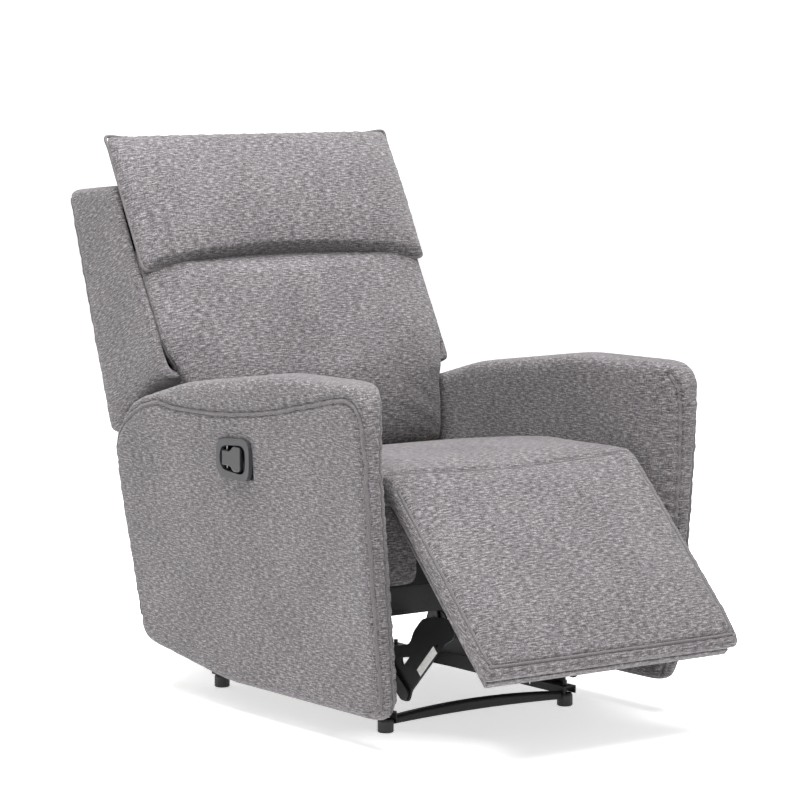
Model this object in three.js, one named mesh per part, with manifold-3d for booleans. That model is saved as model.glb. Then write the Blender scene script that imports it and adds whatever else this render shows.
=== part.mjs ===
// Upholstered manual recliner armchair with a lever-released footrest and a push-back backrest.
// Units are millimetres, +Z is up and the chair faces -Y. The sitter's right side is -X.
import * as THREE from "three";
import { mergeVertices } from "three/addons/utils/BufferGeometryUtils.js";
import Module from "manifold-3d";

const wasm = await Module();
wasm.setup();

// ---------------------------------------------------------------- driving dimensions
const SEAT_HALF_WIDTH = 284; // seat, footrest and lower back, between the arms
const ARM_GAP = 7; // from the seat to an arm's inner face
const ARM_WIDTH = 85;
const ARM_HEIGHT = 636; // floor to the top of the arm
const ARM_LENGTH = 814;
const ARM_CLEARANCE = 60; // floor to the underside of the arm
const ARM_LEAN = 40; // how far the outer face runs in towards the floor
const SEAT_HEIGHT = 480; // floor to the top of the seat cushion
const SEAT_DEPTH = 548; // front seam to the backrest
const FOOTREST_LENGTH = 390;
const FOOTREST_SLOPE = 45.7; // degrees below horizontal in the resting position
const BACK_HALF_WIDTH = 330; // upper backrest, above the arms
const BACK_LEAN = 28.4; // degrees from vertical, front of the backrest
const SHELL_LEAN = 18.2; // degrees from vertical, rear of the backrest
const BACK_TOP = 938; // floor to the top of the backrest shell
const PILLOW_HEIGHT = 281;
const PILLOW_HALF_WIDTH = 323;
const FOOT_RADIUS = 14.5;
const FOOT_HEIGHT = 24;
const RAIL_TRACK = 202.4; // centre line of a base rail from the middle
const RAIL_WIDTH = 28;
const RAIL_HEIGHT = 14;
const BASE_LENGTH = 521.9; // front foot to rear foot
const STEEL = 4; // thickness of the mechanism's plates
const TUBE_RADIUS = 12; // drive tube
const HANDLE_LENGTH = 105;
const HANDLE_HEIGHT = 78;
const BOARD = 25; // thickness of the seat's timber
const SHELL_WALL = 18;

// Clearances
const TOUCH = 0.3; // between pieces that rest on each other
const RUN = 0.4; // radial, around a turning pin
const LANE = 1.5; // side gap between neighbouring moving plates

// Pivots of the mechanism, seen from the side as (Y, Z)
const FOOT_HINGE = [-95, 440];
const TOGGLE = [-168, 205]; // front link to footrest bracket
const ELBOW = [-40, 75]; // front link to rear link
const DRIVE = [FOOT_HINGE[0] + ELBOW[0] - TOGGLE[0], FOOT_HINGE[1] + ELBOW[1] - TOGGLE[1]];
const BACK_HINGE = [520, 290];
const SWING_HEIGHT = 105;
const SWING_LENGTH = 140;
const SWING_LEAN = 12.4; // degrees behind vertical in the resting position
const SWING_AT = [110, 400];

// Side planes of the mechanism's plates, from the inside outwards
const PITCH = STEEL + LANE;
const LANE_BRACKET = 180;
const LANE_FRONT_LINK = LANE_BRACKET + PITCH;
const LANE_REAR_LINK = LANE_BRACKET + 2 * PITCH;
const LANE_PLATE = LANE_BRACKET + 3 * PITCH;
const LANE_SWING = LANE_BRACKET + 4 * PITCH;
const LANE_UPRIGHT = LANE_BRACKET + 5 * PITCH;

// ---------------------------------------------------------------- materials
const finish = (color, roughness, metalness = 0) => () =>
  new THREE.MeshStandardMaterial({ color, roughness, metalness });
const fabric = finish(0x969294, 0.95);
const darkFabric = finish(0x4c494c, 0.95);
const blackSteel = finish(0x141415, 0.42, 0.4);
const zincSteel = finish(0xa9abad, 0.35, 1);
const blackPlastic = finish(0x1b1b1c, 0.55);
const greyPlastic = finish(0x5a5858, 0.5);
const timber = finish(0xb58f62, 0.75);

// ---------------------------------------------------------------- shape helpers
const degrees = (value) => (value * Math.PI) / 180;

// A closed outline through the corners [a, b, radius], each rounded by its radius.
function outline(corners) {
  const shape = new THREE.Shape();
  const count = corners.length;
  corners.forEach(([a, b, radius = 0], i) => {
    const corner = new THREE.Vector2(a, b);
    const before = new THREE.Vector2(...corners[(i + count - 1) % count].slice(0, 2));
    const after = new THREE.Vector2(...corners[(i + 1) % count].slice(0, 2));
    const start = corner.clone().add(before.sub(corner).setLength(radius));
    const end = corner.clone().add(after.sub(corner).setLength(radius));
    if (i === 0) shape.moveTo(start.x, start.y);
    else shape.lineTo(start.x, start.y);
    if (radius) shape.quadraticCurveTo(a, b, end.x, end.y);
  });
  shape.closePath();
  return shape;
}

// A bar with round ends from one point to another.
function barOutline([a0, b0], [a1, b1], width) {
  const turn = Math.atan2(b1 - b0, a1 - a0);
  const shape = new THREE.Shape();
  shape.absarc(a0, b0, width / 2, turn + Math.PI / 2, turn + 1.5 * Math.PI);
  shape.absarc(a1, b1, width / 2, turn - Math.PI / 2, turn + Math.PI / 2);
  shape.closePath();
  return shape;
}

const extrude = (shape, depth, options = {}) =>
  new THREE.ExtrudeGeometry(shape, { depth, bevelEnabled: false, curveSegments: 4, ...options });

// A side view outline in (Y, Z), made solid from x0 to x1.
function sideways(shape, x0, x1, edge = 0) {
  const bevel = edge && {
    bevelEnabled: true,
    bevelSize: edge,
    bevelOffset: -edge,
    bevelThickness: edge,
    bevelSegments: 2,
  };
  const solid = extrude(shape, x1 - x0 - 2 * edge, bevel || {});
  const turn = new THREE.Matrix4().makeBasis(
    new THREE.Vector3(0, 1, 0),
    new THREE.Vector3(0, 0, 1),
    new THREE.Vector3(1, 0, 0),
  );
  return solid.applyMatrix4(turn).translate(x0 + edge, 0, 0);
}

// A front view outline in (X, Z), made solid from y0 to y1.
function lengthways(shape, y0, y1) {
  return extrude(shape, y1 - y0).rotateX(Math.PI / 2).translate(0, y1, 0);
}

const box = (x0, x1, y0, y1, z0, z1) =>
  new THREE.BoxGeometry(x1 - x0, y1 - y0, z1 - z0).translate(
    (x0 + x1) / 2,
    (y0 + y1) / 2,
    (z0 + z1) / 2,
  );

// A round bar along X at a point of the side view.
const pin = ([y, z], radius, x0, x1, sides = 12) =>
  new THREE.CylinderGeometry(radius, radius, x1 - x0, sides)
    .rotateZ(Math.PI / 2)
    .translate((x0 + x1) / 2, y, z);

function solid(geometry) {
  const bare = geometry.clone();
  bare.deleteAttribute("normal");
  bare.deleteAttribute("uv");
  const merged = mergeVertices(bare, 1e-3);
  return new wasm.Manifold(
    new wasm.Mesh({
      numProp: 3,
      vertProperties: new Float32Array(merged.attributes.position.array),
      triVerts: new Uint32Array(merged.index.array),
    }),
  );
}

function geometryOf(body) {
  const mesh = body.getMesh();
  const geometry = new THREE.BufferGeometry();
  geometry.setAttribute("position", new THREE.BufferAttribute(mesh.vertProperties, 3));
  geometry.setIndex(new THREE.BufferAttribute(mesh.triVerts, 1));
  geometry.computeVertexNormals();
  return geometry;
}

const join = (...pieces) =>
  geometryOf(pieces.map(solid).reduce((whole, piece) => whole.add(piece)));
const cut = (piece, ...tools) =>
  geometryOf(tools.map(solid).reduce((whole, tool) => whole.subtract(tool), solid(piece)));

// ---------------------------------------------------------------- assembly helpers
const chair = new THREE.Group();

function add(name, geometry, material) {
  const mesh = new THREE.Mesh(geometry, material());
  mesh.name = name;
  chair.add(mesh);
  return mesh;
}

// The right-hand copy lies at -X. The left-hand copy is its mirror image.
function addPair(name, makeRight, material) {
  const right = makeRight();
  add(`${name}_right`, right, material);
  const left = right.clone().applyMatrix4(new THREE.Matrix4().makeScale(-1, 1, 1));
  const mirrored = left.index ? left : mergeVertices(left);
  const index = mirrored.index.array;
  for (let i = 0; i < index.length; i += 3) [index[i], index[i + 1]] = [index[i + 1], index[i]];
  mirrored.computeVertexNormals();
  add(`${name}_left`, mirrored, material);
}

// ---------------------------------------------------------------- base
const RAIL_TOP = FOOT_HEIGHT + RAIL_HEIGHT;
const RAIL_OUT = RAIL_TRACK + RAIL_WIDTH / 2;
const RAIL_IN = RAIL_TRACK - RAIL_WIDTH / 2;
const RAIL_WALL = 2.5;
const STUD = 4;

function foot(x, y) {
  const half = FOOT_RADIUS;
  const profile = [
    [0, 0], [half - 2, 0], [half, 2], [half, FOOT_HEIGHT - 4], [half - 2, FOOT_HEIGHT - TOUCH],
    [STUD, FOOT_HEIGHT - TOUCH], [STUD, RAIL_TOP + 9], [0, RAIL_TOP + 9],
  ].map(([r, z]) => new THREE.Vector2(r, z));
  return new THREE.LatheGeometry(profile, 16).rotateX(Math.PI / 2).translate(x, y, 0);
}
for (const [end, y] of [["front", 0], ["rear", BASE_LENGTH]])
  for (const [side, x] of [["right", -RAIL_TRACK], ["left", RAIL_TRACK]])
    add(`foot_${end}_${side}`, foot(x, y), blackPlastic);

function baseRail() {
  const channel = outline([
    [-RAIL_OUT, FOOT_HEIGHT], [-RAIL_OUT + RAIL_WALL, FOOT_HEIGHT],
    [-RAIL_OUT + RAIL_WALL, RAIL_TOP - RAIL_WALL], [-RAIL_IN - RAIL_WALL, RAIL_TOP - RAIL_WALL],
    [-RAIL_IN - RAIL_WALL, FOOT_HEIGHT], [-RAIL_IN, FOOT_HEIGHT],
    [-RAIL_IN, RAIL_TOP], [-RAIL_OUT, RAIL_TOP],
  ]);
  const rail = lengthways(channel, -FOOT_RADIUS, BASE_LENGTH + FOOT_RADIUS);
  const holes = [];
  for (let y = BASE_LENGTH / 6; y < BASE_LENGTH; y += BASE_LENGTH / 6)
    holes.push(pin([y, FOOT_HEIGHT + RAIL_HEIGHT / 2 - 1], 3.2, -RAIL_OUT - 1, -RAIL_IN + 1, 8));
  for (const y of [0, BASE_LENGTH])
    holes.push(
      new THREE.CylinderGeometry(STUD + RUN, STUD + RUN, 2 * RAIL_HEIGHT, 16)
        .rotateX(Math.PI / 2)
        .translate(-RAIL_TRACK, y, RAIL_TOP),
    );
  return cut(rail, ...holes);
}
addPair("base_rail", baseRail, blackSteel);

const CROSSBAR_END = RAIL_TRACK - Math.max(FOOT_RADIUS, RAIL_WIDTH / 2) - TOUCH;
const CROSSBAR_DEPTH = 22;
function frontCrossbar() {
  const rise = 9;
  const shape = new THREE.Shape();
  shape.moveTo(-CROSSBAR_END, FOOT_HEIGHT - 10);
  shape.quadraticCurveTo(0, FOOT_HEIGHT - 10 + rise, CROSSBAR_END, FOOT_HEIGHT - 10);
  shape.lineTo(CROSSBAR_END, FOOT_HEIGHT + 4);
  shape.quadraticCurveTo(0, RAIL_TOP + rise, -CROSSBAR_END, FOOT_HEIGHT + 4);
  shape.closePath();
  return extrude(shape, CROSSBAR_DEPTH - 10, {
    bevelEnabled: true, bevelSize: 4, bevelOffset: -4, bevelThickness: 5, bevelSegments: 2,
    curveSegments: 12,
  }).rotateX(Math.PI / 2).translate(0, CROSSBAR_DEPTH / 2 - 5, 0);
}
add("front_crossbar", frontCrossbar(), blackSteel);
add("rear_crossbar", pin([BASE_LENGTH - 30, RAIL_TOP - 8], 8, -CROSSBAR_END, CROSSBAR_END), blackSteel);

// The base upright carries the lower pivots of the two swing links.
function baseUpright() {
  const x0 = -LANE_UPRIGHT - STEEL;
  const floor = RAIL_TOP + TOUCH;
  const [front, rear] = SWING_AT;
  const plate = sideways(
    outline([
      [front - 55, floor], [rear + 55, floor], [rear + 22, SWING_HEIGHT + 18, 14],
      [rear - 22, SWING_HEIGHT + 18, 14], [rear - 60, RAIL_TOP + 35, 20],
      [front + 60, RAIL_TOP + 35, 20], [front + 22, SWING_HEIGHT + 18, 14],
      [front - 22, SWING_HEIGHT + 18, 14],
    ]),
    x0,
    x0 + STEEL,
  );
  const flange = box(x0, -RAIL_IN - 4, front - 50, rear + 50, floor, floor + 3);
  const stubs = SWING_AT.map((y) => pin([y, SWING_HEIGHT], 5, x0 + 1, -LANE_SWING + 1));
  return join(plate, flange, ...stubs);
}
addPair("base_upright", baseUpright, blackSteel);

const ARM_IN = SEAT_HALF_WIDTH + ARM_GAP;
const ARM_OUT = ARM_IN + ARM_WIDTH;
const BRACKET_TOP = ARM_CLEARANCE - TOUCH;
for (const [end, y] of [["front", SWING_AT[0] - 90], ["rear", SWING_AT[0] + 150]])
  addPair(
    `arm_bracket_${end}`,
    () => {
      const outer = -RAIL_OUT - TOUCH;
      return lengthways(
        outline([
          [outer, FOOT_HEIGHT + 2], [outer, BRACKET_TOP], [-ARM_IN - 27, BRACKET_TOP],
          [-ARM_IN - 27, BRACKET_TOP - STEEL], [outer - STEEL, BRACKET_TOP - STEEL],
          [outer - STEEL, FOOT_HEIGHT + 2],
        ]),
        y,
        y + 40,
      );
    },
    blackSteel,
  );

// ---------------------------------------------------------------- arms
const ARM_FRONT = -172;
const ARM_REAR = ARM_FRONT + ARM_LENGTH;
const FRAME_IN = ARM_IN + 9;
const FRAME_THICK = 20;

// The arm's side view. inset shrinks it towards the timber frame inside.
function armOutline(inset, bottom) {
  return outline([
    [ARM_FRONT + inset, bottom, 40 - inset / 2], [ARM_FRONT + inset, ARM_HEIGHT - inset, 60 - inset / 2],
    [ARM_FRONT + 272, ARM_HEIGHT - 2 - inset, 30], [ARM_REAR - 247, ARM_HEIGHT - 40 - inset, 30],
    [ARM_REAR - 80 - inset / 2, ARM_HEIGHT - 84 - inset, 30],
    [ARM_REAR - inset, ARM_HEIGHT - 158 - inset, 35], [ARM_REAR - 6 - inset, ARM_HEIGHT - 260, 30],
    [ARM_REAR - 50 - inset, bottom + 36, 34 - inset / 2], [ARM_REAR - 330, bottom, 40],
  ]);
}
const FRAME_INSET = 36;
const handleAt = [ARM_FRONT + 389, ARM_HEIGHT - 161]; // (Y, Z) of the release handle's middle
const handleFace = ARM_OUT + 3;
const HANDLE_PLATE = 8;
const CUP_DEPTH = 27;
const handleOutline = (inset) => {
  const [y, z] = handleAt;
  const halfLength = HANDLE_LENGTH / 2 - inset;
  const halfHeight = HANDLE_HEIGHT / 2 - inset;
  const corner = 26 - inset / 2;
  return outline([
    [y - halfLength, z - halfHeight, corner], [y + halfLength, z - halfHeight + 6, corner],
    [y + halfLength, z + halfHeight - 6, corner], [y - halfLength, z + halfHeight, corner],
  ]);
};
const CABLE = 3; // radius of the cable's housing
const cableExit = [handleAt[0] - 27, 172]; // hole in the arm's inner face
const cableRoute = [
  [-handleFace + CUP_DEPTH + 2 * CABLE, handleAt[0] + 8, handleAt[1] - 18],
  [-FRAME_IN - 18, handleAt[0] + 6, handleAt[1] - 22],
  [-FRAME_IN - 10, handleAt[0], handleAt[1] - 45],
  [-FRAME_IN - 10, handleAt[0] - 15, 340],
  [-FRAME_IN - 10, handleAt[0] - 22, 215],
  [-ARM_IN - 4, ...cableExit],
  [-ARM_IN + 30, handleAt[0] - 29, 146],
  [-LANE_UPRIGHT - 12, handleAt[0] - 30, 128],
].map((point) => new THREE.Vector3(...point));

function armPad() {
  const pad = sideways(armOutline(0, ARM_CLEARANCE), -ARM_OUT, -ARM_IN, 14);
  const middle = -(ARM_IN + ARM_OUT) / 2;
  const top = ARM_HEIGHT - 100;
  const position = pad.attributes.position;
  for (let i = 0; i < position.count; i++) {
    if (position.getX(i) > middle || position.getZ(i) > top) continue;
    const drop = (top - position.getZ(i)) / (top - ARM_CLEARANCE);
    position.setX(i, position.getX(i) + ARM_LEAN * drop);
  }
  const pocket = sideways(
    armOutline(FRAME_INSET - 1, ARM_CLEARANCE - 40),
    -FRAME_IN - FRAME_THICK - TOUCH,
    -FRAME_IN + TOUCH,
  );
  return { pad, pocket };
}
function handleArmPad() {
  const { pad, pocket } = armPad();
  const window = sideways(handleOutline(7), -ARM_OUT - 10, -FRAME_IN - 5);
  const seatForPlate = sideways(handleOutline(-1), -ARM_OUT - 10, -handleFace + HANDLE_PLATE + 1);
  const cableHole = pin([cableExit[0], cableExit[1] + 4], 16, -FRAME_IN - 3, -ARM_IN + 3, 14);
  return cut(pad, pocket, window, seatForPlate, cableHole);
}
function plainArmPad() {
  const { pad, pocket } = armPad();
  return cut(pad, pocket).applyMatrix4(new THREE.Matrix4().makeScale(-1, 1, 1));
}
function faceOut(geometry) {
  const index = geometry.index.array;
  for (let i = 0; i < index.length; i += 3) [index[i], index[i + 1]] = [index[i + 1], index[i]];
  return geometry;
}
add("arm_pad_right", handleArmPad(), fabric);
add("arm_pad_left", faceOut(plainArmPad()), fabric);

addPair(
  "arm_frame",
  () => {
    const x0 = -FRAME_IN - FRAME_THICK;
    const panel = sideways(armOutline(FRAME_INSET, ARM_CLEARANCE), x0, -FRAME_IN);
    const windows = [
      [ARM_FRONT + 90, ARM_FRONT + 300],
      [ARM_FRONT + 345, ARM_FRONT + 475],
      [ARM_FRONT + 520, ARM_FRONT + 660],
    ].map(([y0, y1]) => {
      const shape = outline([
        [y0, 125, 20], [y1, 125, 20], [y1, ARM_HEIGHT - 130, 20], [y0, ARM_HEIGHT - 130, 20],
      ]);
      return sideways(shape, x0 - 5, -FRAME_IN + 5);
    });
    return cut(panel, ...windows);
  },
  timber,
);

// ---------------------------------------------------------------- release handle and cable
function handleBezel() {
  const plate = sideways(handleOutline(0), -handleFace, -handleFace + HANDLE_PLATE);
  const cup = sideways(handleOutline(9), -handleFace + 2, -handleFace + CUP_DEPTH);
  const hollow = sideways(handleOutline(12), -handleFace - 1, -handleFace + CUP_DEPTH - 3);
  const pinHoles = new THREE.CylinderGeometry(2.1, 2.1, HANDLE_HEIGHT - 10, 12)
    .rotateX(Math.PI / 2)
    .translate(paddleHinge[0], paddleHinge[1], handleAt[1]);
  const whole = solid(plate).add(solid(cup)).subtract(solid(hollow)).subtract(solid(pinHoles));
  return geometryOf(whole);
}
const paddleHinge = [-handleFace + 11, handleAt[0] + HANDLE_LENGTH / 2 - 21];
const stemHalf = HANDLE_HEIGHT / 2 - 26;
function paddle() {
  const [x, y] = paddleHinge;
  const z = handleAt[1];
  const front = handleAt[0] - HANDLE_LENGTH / 2 + 27;
  const blade = sideways(
    outline([
      [front, z - 22, 9], [front + 22, z - 23, 6], [front + 32, z - stemHalf, 5], [y, z - stemHalf],
      [y, z + stemHalf], [front + 32, z + stemHalf, 5], [front + 22, z + 23, 6], [front, z + 22, 9],
    ]),
    -handleFace - 1,
    -handleFace + 6,
    1.2,
  );
  const barrel = new THREE.CylinderGeometry(6, 6, 2 * stemHalf, 18).rotateX(Math.PI / 2);
  const bore = new THREE.CylinderGeometry(2.2, 2.2, 4 * stemHalf, 12).rotateX(Math.PI / 2);
  barrel.translate(x, y, z);
  bore.translate(x, y, z);
  const web = box(-handleFace + 2, x, y - 6, y, z - stemHalf, z + stemHalf);
  return geometryOf(solid(blade).add(solid(barrel)).add(solid(web)).subtract(solid(bore)));
}
add("release_bezel", handleBezel(), greyPlastic);
add("release_paddle", paddle(), greyPlastic);
add(
  "paddle_pin",
  new THREE.CylinderGeometry(1.8, 1.8, HANDLE_HEIGHT - 30, 12)
    .rotateX(Math.PI / 2)
    .translate(paddleHinge[0], paddleHinge[1], handleAt[1]),
  zincSteel,
);

function cable() {
  const section = new THREE.Shape();
  section.absarc(0, 0, CABLE, 0, 2 * Math.PI);
  return new THREE.ExtrudeGeometry(section, {
    extrudePath: new THREE.CatmullRomCurve3(cableRoute),
    steps: 36,
    curveSegments: 4,
    bevelEnabled: false,
  });
}
add("release_cable", cable(), blackPlastic);

const LATCH = [cableRoute.at(-1).y, 88];
add(
  "latch_lever",
  cut(
    join(
      sideways(barOutline(LATCH, [LATCH[0] - 4, LATCH[1] + 42], 13), -LANE_UPRIGHT - 9.5, -LANE_UPRIGHT - 5.5),
      sideways(barOutline(LATCH, [LATCH[0] - 24, LATCH[1] - 14], 13), -LANE_UPRIGHT - 9.5, -LANE_UPRIGHT - 5.5),
    ),
    pin(LATCH, 4 + RUN, -LANE_UPRIGHT - 12, -LANE_UPRIGHT - 2),
  ),
  zincSteel,
);
add(
  "latch_bracket",
  join(
    box(-LANE_UPRIGHT - 10, -LANE_UPRIGHT - 4.3, LATCH[0] - 14, LATCH[0] + 14, RAIL_TOP + 4, LATCH[1] - 32),
    sideways(
      outline([
        [LATCH[0] - 14, RAIL_TOP + 4], [LATCH[0] + 14, RAIL_TOP + 4], [LATCH[0] + 8, LATCH[1] + 10, 6],
        [LATCH[0] - 8, LATCH[1] + 10, 6],
      ]),
      -LANE_UPRIGHT - 13.5,
      -LANE_UPRIGHT - 10,
    ),
    pin(LATCH, 4, -LANE_UPRIGHT - 12, -LANE_UPRIGHT - 4.3),
  ),
  blackSteel,
);

// ---------------------------------------------------------------- seat
const BOARD_REAR = FOOT_HINGE[0] + 50;
const BOARD_FRONT = BOARD_REAR - BOARD;
const BEAM_BOTTOM = 220;
const BEAM_TOP = 268;
const SEAT_FLOOR = SEAT_HEIGHT - 70; // underside of the cushion over the springs
const SEAT_REAR = FOOT_HINGE[0] + SEAT_DEPTH;
const RAIL_BASE = SEAT_FLOOR - 84;
const side = SEAT_HALF_WIDTH - 1;
add("seat_front_beam", box(-side, side, BOARD_FRONT, BOARD_REAR, BEAM_BOTTOM, BEAM_TOP), blackSteel);
add(
  "seat_front_board",
  box(-side, side, BOARD_FRONT, BOARD_REAR, BEAM_TOP + TOUCH, FOOT_HINGE[1]),
  darkFabric,
);
addPair(
  "front_wrap",
  () =>
    lengthways(
      outline([
        [-side, BEAM_TOP + 5], [-LANE_BRACKET - 10, BEAM_TOP + 5, 22],
        [-LANE_BRACKET - 10, FOOT_HINGE[1] - 16], [-side, FOOT_HINGE[1] - 16],
      ]),
      BOARD_FRONT - TOUCH - 4,
      BOARD_FRONT - TOUCH,
    ),
  fabric,
);

// A hinge tab stands off the front board and carries the footrest's hinge pin.
addPair(
  "footrest_hinge_tab",
  () => {
    const [y, z] = FOOT_HINGE;
    const x1 = -LANE_FRONT_LINK;
    const tab = sideways(
      outline([[y - 9, z - 9, 7], [BOARD_FRONT - TOUCH, z - 11], [BOARD_FRONT - TOUCH, z - 1], [y - 9, z + 9, 7]]),
      x1 - STEEL,
      x1,
    );
    const flange = box(x1 - 22, x1, BOARD_FRONT - TOUCH - 3, BOARD_FRONT - TOUCH, z - 12, z - 1);
    return join(tab, flange, pin(FOOT_HINGE, 4, x1 - 2, -LANE_BRACKET + 2));
  },
  blackSteel,
);

const TIMBER_OUT = SEAT_HALF_WIDTH - 4;
const TIMBER_IN = TIMBER_OUT - BOARD - 5;
addPair(
  "seat_side_rail",
  () => box(-TIMBER_OUT, -TIMBER_IN, BOARD_REAR + TOUCH, SEAT_REAR + 12, RAIL_BASE, SEAT_FLOOR - TOUCH),
  timber,
);
add(
  "seat_rear_rail",
  box(-TIMBER_IN + TOUCH, TIMBER_IN - TOUCH, SEAT_REAR - 14, SEAT_REAR + 11, RAIL_BASE + 10, SEAT_FLOOR - 12),
  timber,
);

// Zigzag springs run from the front board to the rear rail.
function seatSpring(x) {
  const start = BOARD_REAR + 4;
  const end = SEAT_REAR - 18;
  const turns = 9;
  const swing = 22;
  const points = [];
  for (let i = 0; i <= 4 * turns; i++) {
    const along = i / (4 * turns);
    const rise = 4 * Math.sin(Math.PI * along);
    const z = SEAT_FLOOR - 12 + rise;
    const across = x + swing * Math.sin((i * Math.PI) / 2);
    points.push(new THREE.Vector3(across, start + (end - start) * along, z));
  }
  const section = new THREE.Shape();
  section.absarc(0, 0, 1.8, 0, 2 * Math.PI);
  return new THREE.ExtrudeGeometry(section, {
    extrudePath: new THREE.CatmullRomCurve3(points),
    steps: 48,
    curveSegments: 3,
    bevelEnabled: false,
  });
}
const SPRING_AT = SEAT_HALF_WIDTH / 1.9;
["right", "middle", "left"].forEach((name, i) => {
  add(`seat_spring_${name}`, seatSpring((i - 1) * SPRING_AT), zincSteel);
});

// The side plate hangs under the seat rail and holds every fixed pivot of the mechanism.
const swingTop = SWING_AT.map((y) => [
  y + SWING_LENGTH * Math.sin(degrees(SWING_LEAN)),
  SWING_HEIGHT + SWING_LENGTH * Math.cos(degrees(SWING_LEAN)),
]);
addPair(
  "seat_plate",
  () => {
    const x0 = -LANE_PLATE - STEEL;
    const top = RAIL_BASE - TOUCH;
    const front = BOARD_REAR + TOUCH;
    const [a, b] = swingTop;
    const low = a[1] - 16;
    const plate = sideways(
      outline([
        [front, top], [front, 262, 8], [a[0] - 34, 262, 12], [a[0] - 18, low, 12], [a[0] + 18, low, 12],
        [a[0] + 42, 262, 12], [b[0] - 34, 262, 12], [b[0] - 18, low, 12], [b[0] + 20, low, 12],
        [BACK_HINGE[0] + 12, BACK_HINGE[1] - 22, 12], [BACK_HINGE[0] + 24, BACK_HINGE[1] + 8, 12],
        [BACK_HINGE[0] - 10, top, 12],
      ]),
      x0,
      x0 + STEEL,
    );
    const flange = box(-TIMBER_OUT + 8, x0 + 1, DRIVE[0] - 40, SEAT_REAR - 30, top - 3.5, top);
    const opening = sideways(
      outline([
        [a[0] + 45, 276, 12], [b[0] - 40, 276, 12], [b[0] - 40, top - 16, 12], [a[0] + 45, top - 16, 12],
      ]),
      x0 - 2,
      x0 + STEEL + 2,
    );
    const stubs = swingTop.map((at) => pin(at, 4, -LANE_SWING - STEEL - 1, x0 + 1));
    const holes = [
      pin(DRIVE, TUBE_RADIUS + RUN, x0 - 4, x0 + STEEL + 4, 24),
      pin(BACK_HINGE, 6 + RUN, x0 - 4, x0 + STEEL + 4),
    ];
    const whole = [flange, ...stubs].reduce((sum, piece) => sum.add(solid(piece)), solid(plate));
    return geometryOf([opening, ...holes].reduce((sum, tool) => sum.subtract(solid(tool)), whole));
  },
  blackSteel,
);

const CUSHION_FRONT = FOOT_HINGE[0] - 4;
add(
  "seat_cushion",
  sideways(
    outline([
      [CUSHION_FRONT, FOOT_HINGE[1] + 10, 6], [CUSHION_FRONT, SEAT_HEIGHT, 18],
      [SEAT_REAR - 300, SEAT_HEIGHT - 2, 40], [SEAT_REAR - 10, SEAT_HEIGHT - 44, 16],
      [SEAT_REAR - 4, SEAT_FLOOR], [BOARD_REAR + 8, SEAT_FLOOR], [BOARD_REAR + 8, FOOT_HINGE[1] + 10],
    ]),
    -SEAT_HALF_WIDTH,
    SEAT_HALF_WIDTH,
    4,
  ),
  fabric,
);

// ---------------------------------------------------------------- swing links
SWING_AT.forEach((y, i) =>
  addPair(
    `swing_link_${["front", "rear"][i]}`,
    () => {
      const low = [y, SWING_HEIGHT];
      const x0 = -LANE_SWING - STEEL;
      const bar = sideways(barOutline(low, swingTop[i], 28), x0, x0 + STEEL);
      const holes = [pin(low, 5 + RUN, x0 - 2, x0 + STEEL + 2), pin(swingTop[i], 8.3, x0 - 2, x0 + STEEL + 2)];
      return cut(bar, ...holes);
    },
    blackSteel,
  ),
);

// ---------------------------------------------------------------- backrest
const leanAt = (z, lean) => (z - 579) * Math.tan(degrees(lean));
const shellFront = (z) => 503 + leanAt(z, BACK_LEAN);
const shellRear = (z) => 749 + leanAt(z, SHELL_LEAN);
const WING_FOOT = ARM_HEIGHT - 48; // lower front corner of the wings, over the arms
const LOWER_HALF = SEAT_HALF_WIDTH - 3;
const SHELL_FOOT = 335;

function backShell() {
  const wings = sideways(
    outline([
      [shellFront(WING_FOOT), WING_FOOT], [ARM_REAR - 80, WING_FOOT - 18, 20],
      [ARM_REAR + 12, ARM_HEIGHT - 128, 12], [ARM_REAR + 26, ARM_HEIGHT - 166, 10],
      [shellRear(ARM_HEIGHT - 166), ARM_HEIGHT - 166, 12], [shellRear(BACK_TOP - 14), BACK_TOP - 14, 22],
      [shellFront(BACK_TOP), BACK_TOP, 10],
    ]),
    -BACK_HALF_WIDTH,
    BACK_HALF_WIDTH,
    8,
  );
  const middle = sideways(
    outline([
      [shellFront(WING_FOOT + 20), WING_FOOT + 20], [502, WING_FOOT - 20], [514, SHELL_FOOT],
      [shellRear(SHELL_FOOT), SHELL_FOOT, 14], [shellRear(WING_FOOT + 20), WING_FOOT + 20],
    ]),
    -LOWER_HALF,
    LOWER_HALF,
  );
  const hollow = (z0, z1, half) =>
    sideways(
      outline([
        [shellFront(z0) - 60, z0], [shellRear(z0) - SHELL_WALL, z0],
        [shellRear(z1) - SHELL_WALL, z1], [shellFront(z1) - 60, z1],
      ]),
      -half + SHELL_WALL,
      half - SHELL_WALL,
    );
  const low = sideways(
    outline([
      [480, SHELL_FOOT - 5], [shellRear(SHELL_FOOT) - SHELL_WALL, SHELL_FOOT - 5],
      [shellRear(WING_FOOT + 25) - SHELL_WALL, WING_FOOT + 25], [480, WING_FOOT + 25],
    ]),
    -LOWER_HALF + SHELL_WALL,
    LOWER_HALF - SHELL_WALL,
  );
  const whole = solid(wings).add(solid(middle));
  return geometryOf(
    whole.subtract(solid(hollow(WING_FOOT + 12, BACK_TOP - 36, BACK_HALF_WIDTH))).subtract(solid(low)),
  );
}
add("back_shell", backShell(), fabric);

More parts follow.
